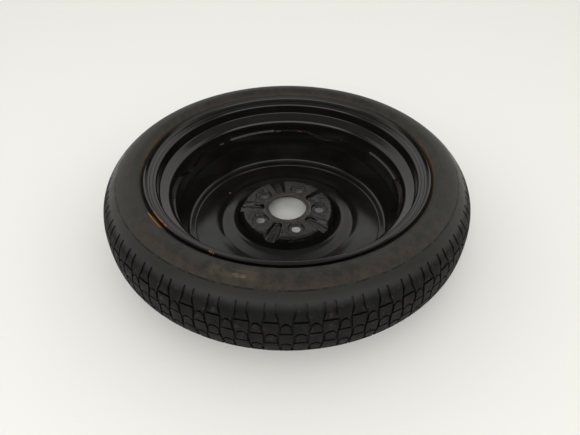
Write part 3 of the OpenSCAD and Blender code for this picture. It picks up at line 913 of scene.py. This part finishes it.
def side_wall(s):
    """The outside of a side wall, from the tread's edge in to the bead's toe; s is 1 above and -1 below."""
    end = CROWN_HALF * CROWN_SHARE
    path = [
        (crown(end), s * end, 0),
        (SIDE_R + 0.055 * WALL_H, s * MID, 0.475 * WALL_H),
        (FLANGE_R + 0.182 * WALL_H, s * MID, 0.14 * WALL_H),
        (FLANGE_R + 0.087 * WALL_H, s * (RIM_W / 2 + 0.626 * WALL_OUT), 0.035 * WALL_H),
        (FLANGE_R + 0.039 * WALL_H, s * (RIM_W / 2 + 0.22 * WALL_OUT), 0.042 * WALL_H),
        (FLANGE_R - 4.5, s * (RIM_W / 2 - 0.05), 4.0),
        (SEAT_R + 0.05, s * (RIM_W / 2 - 0.05), 5.0),
        (TOE_R, s * (RIM_W / 2 - BEAD_W), 0),
    ]
    line = moulded(one_side(path, 0, 15), RAISED_LINE_R, 0.8, 0.5)
    return moulded(line, FINE_GROOVE_R, 0.7, -0.35)


def moulded(line, at, half, rise):
    """Adds a fine raised line, or a fine groove where rise is negative, round the wall at the radius at."""
    for i, (p, q) in enumerate(zip(line, line[1:])):
        if (p[0] - at) * (q[0] - at) <= 0 and abs(p[1]) > RIM_W / 2 + 5:
            along = (q - p) / np.linalg.norm(q - p)
            out = np.array([along[1], -along[0]]) * (1 if along[0] * p[1] < 0 else -1)
            out = out if out[1] * p[1] > 0 else -out
            spot = p + (q - p) * (at - p[0]) / (q[0] - p[0])
            ring = [spot - along * half * 2, spot - along * half + out * rise,
                    spot + along * half + out * rise, spot + along * half * 2]
            before = [r for r in line[:i + 1] if r[0] > ring[0][0] or abs(r[1]) < RIM_W / 2 + 5]
            after = [r for r in line[i + 1:] if r[0] < ring[3][0]]
            return before + ring + after
    return line


def inner_wall(s):
    """The inside of a side wall, from the bead's toe out to the tread."""
    return one_side([
        (TOE_R, s * (RIM_W / 2 - BEAD_W), 0),
        (TOE_R + 6.0, s * (RIM_W / 2 - 1.16 * BEAD_W), 3.0),
        (FLANGE_R + 0.07 * WALL_H, s * (RIM_W / 2 - 0.11 * WALL_OUT), 0.2 * WALL_H),
        (FLANGE_R + 0.2 * WALL_H, s * (MID - SIDE_T), 0.1 * WALL_H),
        (SIDE_R + 0.014 * WALL_H, s * (MID - SIDE_T), 0.2 * WALL_H),
        (inner_crown(CAVITY_HALF * CROWN_SHARE), s * CAVITY_HALF * CROWN_SHARE, 0),
    ], 0, 40)[1:]


half_rows = [4.0, 8.1, 11.1, 15.5, 19.5, 23.5, 27.3, 30.3, 34.3,
             38.3, 42, 45.5, 48, SLOT_END, 53, 56, 59, 61.5]
rows = [-v for v in reversed(half_rows)] + half_rows
tread_points = [np.array([crown(v), v]) for v in rows]
cavity = [np.array([inner_crown(v), v]) for v in (45, 25, 0, -25, -45)]
section = (tread_points + side_wall(1) + inner_wall(1) + cavity
           + inner_wall(-1)[::-1] + side_wall(-1)[::-1])
print("the section has", len(section), "points")

# %% Spin one pitch and shape its blocks
COLUMNS = 11
PITCH = math.tau / PITCHES
tyre = drawn("tyre", [p + (0, MID) for p in section])
spun(tyre, COLUMNS, PITCH, -1)

at = places(tyre)
out, v = np.hypot(at[:, 0], at[:, 1]), at[:, 2] - MID
column = np.rint(np.arctan2(at[:, 1], at[:, 0]) / PITCH * COLUMNS).astype(int)
on_tread = out > np.array([crown(min(abs(h), CROWN_HALF * CROWN_SHARE)) for h in v]) - 1e-2

# Half the way between the two slots of a pitch, at each height of the tread
slot_at = np.interp(np.abs(v), [0, 19, 30, 38], [8.0, 11.5, 11.5, 7.5])
half_pitch = math.pi * TREAD_R / PITCHES
inner, outer = slot_at - SLOT_HALF, slot_at + SLOT_HALF
stops = [inner / 3, inner, outer, outer + (half_pitch - outer) / 3,
         outer + (half_pitch - outer) * 2 / 3, np.full(len(v), half_pitch)]
middle_column = COLUMNS // 2
side = np.where(column > middle_column, 1, -1)
step = np.where(side > 0, column - middle_column - 1, middle_column - column)
across = side * np.select([step == i for i in range(6)], stops)
even = (column / COLUMNS - 0.5) * 2 * half_pitch
fade = np.where(on_tread, np.clip((62 - np.abs(v)) / 12, 0, 1), 0)
across = even + (across - even) * fade

# The grooves bow downwards, by turns: two of them within a pair of slots, the other two between the pairs.
# The rows at a groove's two edges follow its bow wholly, and the rows further away from it less and less
between = np.clip((half_pitch - np.abs(across)) / (half_pitch - outer), 0, 1)
bow_outside = np.where(np.abs(across) > slot_at, -2.0 - 4.5 * between ** 2, 0)
bow_inside = np.where(np.abs(across) < slot_at, -5.0 * (across / inner) ** 2, 0)
share_outside = np.interp(
    v, [-23.5, -19.5, -15.5, -11.1, -8.1, -4, 4, 15.5, 19.5, 23.5, 27.3, 30.3, 34.3, 38.3, 42],
    [0, 0.25, 0.5, 1, 1, 0.5, 0, 0, 0.25, 0.5, 1, 1, 0.5, 0.25, 0])
share_inside = np.interp(
    v, [-42, -38.3, -34.3, -30.3, -27.3, -23.5, -19.5, -4, 4, 8.1, 11.1, 15.5, 19.5],
    [0, 0.25, 0.5, 1, 1, 0.5, 0, 0, 0.5, 1, 1, 0.5, 0])
new_v = np.where(on_tread, v + bow_outside * share_outside + bow_inside * share_inside, v)
new_out = np.where(on_tread & (np.abs(v) < 45), [crown(h) for h in np.clip(new_v, -62, 62)], out)
angle = across / TREAD_R
put(tyre, np.column_stack([new_out * np.cos(angle), new_out * np.sin(angle), new_v + MID]))
print("pitch:", len(tyre.data.polygons), "faces, slots", round(float(slot_at.min()) * 2, 1), "to",
      round(float(slot_at.max()) * 2, 1), "mm apart")

# %% Mark the grooves, copy the pitch round and press the grooves in
# The strips behind these two columns of points are the slots; a second material slot marks what is pressed in
SLOT_COLUMNS, SOFT_EDGE = (3, 7), 0.4
tyre.data.materials.append(tyre_finish)
tyre.data.materials.append(tyre_finish)
for face in tyre.data.polygons:
    corners = list(face.vertices)
    if not on_tread[corners].all():
        continue
    low, high = v[corners].min(), v[corners].max()
    first = column[corners].min()
    in_slot = first in SLOT_COLUMNS and high <= SLOT_END + 0.01 and low >= -SLOT_END - 0.01
    middle = abs(low + high) / 2
    in_groove = high - low < GROOVE_W + 0.1 and min(abs(middle - z) for z in GROOVES_AT) < 0.1
    face.material_index = int(in_slot or in_groove)

take(tyre)
bpy.ops.object.mode_set(mode="EDIT")
bpy.ops.mesh.select_all(action="SELECT")
bpy.ops.mesh.spin(steps=PITCHES - 1, angle=math.tau * (PITCHES - 1) / PITCHES, dupli=True,
                  center=(0, 0, 0), axis=(0, 0, 1))
bpy.ops.mesh.select_all(action="SELECT")
bpy.ops.mesh.remove_doubles(threshold=2e-5)
bpy.ops.mesh.normals_make_consistent(inside=False)
bpy.ops.mesh.select_all(action="DESELECT")
tyre.active_material_index = 1
bpy.ops.object.material_slot_select()
bpy.ops.mesh.extrude_region_shrink_fatten(TRANSFORM_OT_shrink_fatten={"value": -GROOVE_DEEP * MM})
bpy.ops.object.mode_set(mode="OBJECT")
for face in tyre.data.polygons:
    face.material_index = 0
tyre.data.materials.pop(index=1)
soft = tyre.modifiers.new("soft_edges", "BEVEL")
soft.width, soft.segments = SOFT_EDGE * MM, 1
soft.limit_method, soft.angle_limit = "ANGLE", math.radians(50)
apply_tool(tyre, "soft_edges")
smooth(tyre, 35)
triangles = sum(len(f.vertices) - 2 for f in tyre.data.polygons)
print("tyre:", len(tyre.data.polygons), "faces,", triangles, "triangles")
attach(tyre, "wheel")
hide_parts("tyre")
